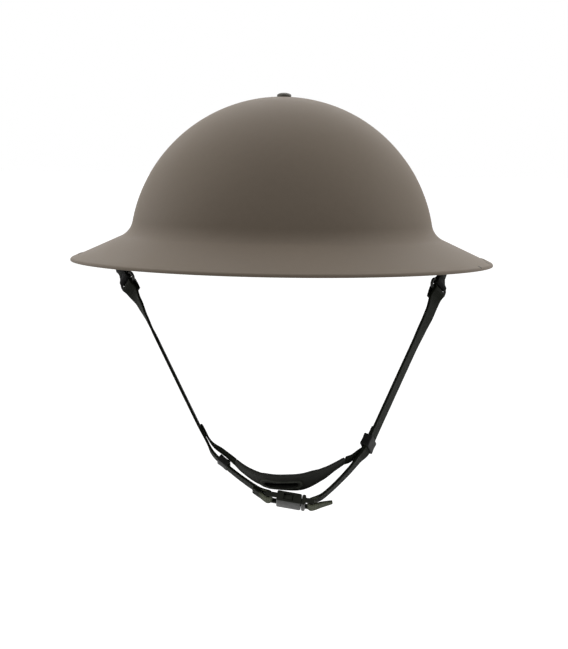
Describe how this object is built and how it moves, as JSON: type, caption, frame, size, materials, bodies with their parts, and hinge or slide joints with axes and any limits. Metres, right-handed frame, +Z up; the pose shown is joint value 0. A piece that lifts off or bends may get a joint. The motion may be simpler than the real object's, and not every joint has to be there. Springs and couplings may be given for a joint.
{
  "type": "steel helmet",
  "caption": "Round steel bowl helmet with a wide sloping brim, a banded liner inside and a webbing chin strap with a cup, slides and a squeeze buckle.",
  "frame": {"origin": "middle of the headband's lower edge, where the helmet sits on a head, level with the crease above the brim", "axes": "+Z up as worn, -Y to the front, +X towards the wearer's left"},
  "size_m": [0.2902, 0.3122, 0.2792],
  "materials": {
    "shell_paint": "matte",
    "dark_steel": "dull, darkened",
    "wire_steel": "satin black",
    "spring_steel": "satin",
    "rivet_metal": "dull",
    "rubber": "matte",
    "felt": "felt",
    "headband_board": "matte",
    "liner_leather": "coated cloth, satin",
    "sweatband_leather": "smooth",
    "webbing": "woven",
    "cup_leather": "matte",
    "cup_lining": "matte",
    "slide_plastic": "matte",
    "buckle_plastic": "satin"
  },
  "bodies": {
    "shell": {"shell": "shell_paint", "rim_strip": "shell_paint", "crown_bolt": "dark_steel", "crown_gasket": "rubber", "crown_washer": "dark_steel", "crown_nut": "dark_steel", "crown_pad": "felt", "cross_band_fore_aft": "spring_steel", "cross_band_lateral": "spring_steel", "headband": "headband_board", "band_rivets": "rivet_metal", "rubber_buffers": "rubber", "liner_cap": "liner_leather", "crown_patch": "liner_leather", "sweatband": "sweatband_leather", "left_lug": "shell_paint", "right_lug": "shell_paint", "left_stud": "dark_steel", "right_stud": "dark_steel"},
    "left_swivel": {"left_swivel": "dark_steel"},
    "left_bail": {"left_bail": "wire_steel"},
    "right_swivel": {"right_swivel": "dark_steel"},
    "right_bail": {"right_bail": "wire_steel"},
    "chin_strap": {"left_tab": "webbing", "right_tab": "webbing", "left_ring": "wire_steel", "right_ring": "wire_steel", "left_strap": "webbing", "right_strap": "webbing", "left_cup_arm": "webbing", "right_cup_arm": "webbing", "chin_cup": "cup_leather", "cup_lining": "cup_lining", "buckle_socket": "buckle_plastic", "buckle_plug": "buckle_plastic"},
    "left_slide": {"left_slide": "slide_plastic"},
    "right_slide": {"right_slide": "slide_plastic"},
    "buckle_prong_front": {"buckle_prong_front": "buckle_plastic"},
    "buckle_prong_back": {"buckle_prong_back": "buckle_plastic"}
  },
  "joints": [
    {"name": "left_swivel_hinge", "type": "hinge", "parent": "shell", "child": "left_swivel", "pos_m": [0.113, 0, -0.0105], "axis": [1, 0, 0], "range_deg": [-38, 84]},
    {"name": "right_swivel_hinge", "type": "hinge", "parent": "shell", "child": "right_swivel", "pos_m": [-0.113, 0, -0.0105], "axis": [1, 0, 0], "range_deg": [-38, 84]},
    {"name": "left_bail_hinge", "type": "hinge", "parent": "left_swivel", "child": "left_bail", "pos_m": [0.113, -0.00283, -0.01701], "axis": [0, -0.9171, 0.3987], "range_deg": [-12, 12]},
    {"name": "right_bail_hinge", "type": "hinge", "parent": "right_swivel", "child": "right_bail", "pos_m": [-0.113, -0.00283, -0.01701], "axis": [0, -0.9171, 0.3987], "range_deg": [-12, 12]},
    {"name": "chin_strap_hinge", "type": "hinge", "parent": "left_bail", "child": "chin_strap", "pos_m": [0.11142, -0.00555, -0.02327], "axis": [0, -0.9171, 0.3987], "range_deg": [-12.5, 12.5]},
    {"name": "left_slide_travel", "type": "slide", "parent": "chin_strap", "child": "left_slide", "axis": [0.4001, 0.3654, 0.8405], "range_m": [0, 0.058]},
    {"name": "right_slide_travel", "type": "slide", "parent": "chin_strap", "child": "right_slide", "axis": [0.7891, -0.1962, -0.5821], "range_m": [-0.003, 0.001]},
    {"name": "front_prong_squeeze", "type": "hinge", "parent": "chin_strap", "child": "buckle_prong_front", "pos_m": [0.01389, -0.07377, -0.17186], "axis": [-0.165, -0.3933, -0.9045], "range_deg": [0, 9], "stiffness_Nm_per_rad": 0.5},
    {"name": "back_prong_squeeze", "type": "hinge", "parent": "chin_strap", "child": "buckle_prong_back", "pos_m": [0.01389, -0.06313, -0.17649], "axis": [0.165, 0.3933, 0.9045], "range_deg": [0, 9], "stiffness_Nm_per_rad": 0.5}
  ],
  "couplings": [
    {"joint": "right_swivel_hinge", "follows": "left_swivel_hinge", "ratio": 1},
    {"joint": "right_bail_hinge", "follows": "left_bail_hinge", "ratio": 1},
    {"joint": "chin_strap_hinge", "follows": "left_bail_hinge", "ratio": -1.0141}
  ]
}
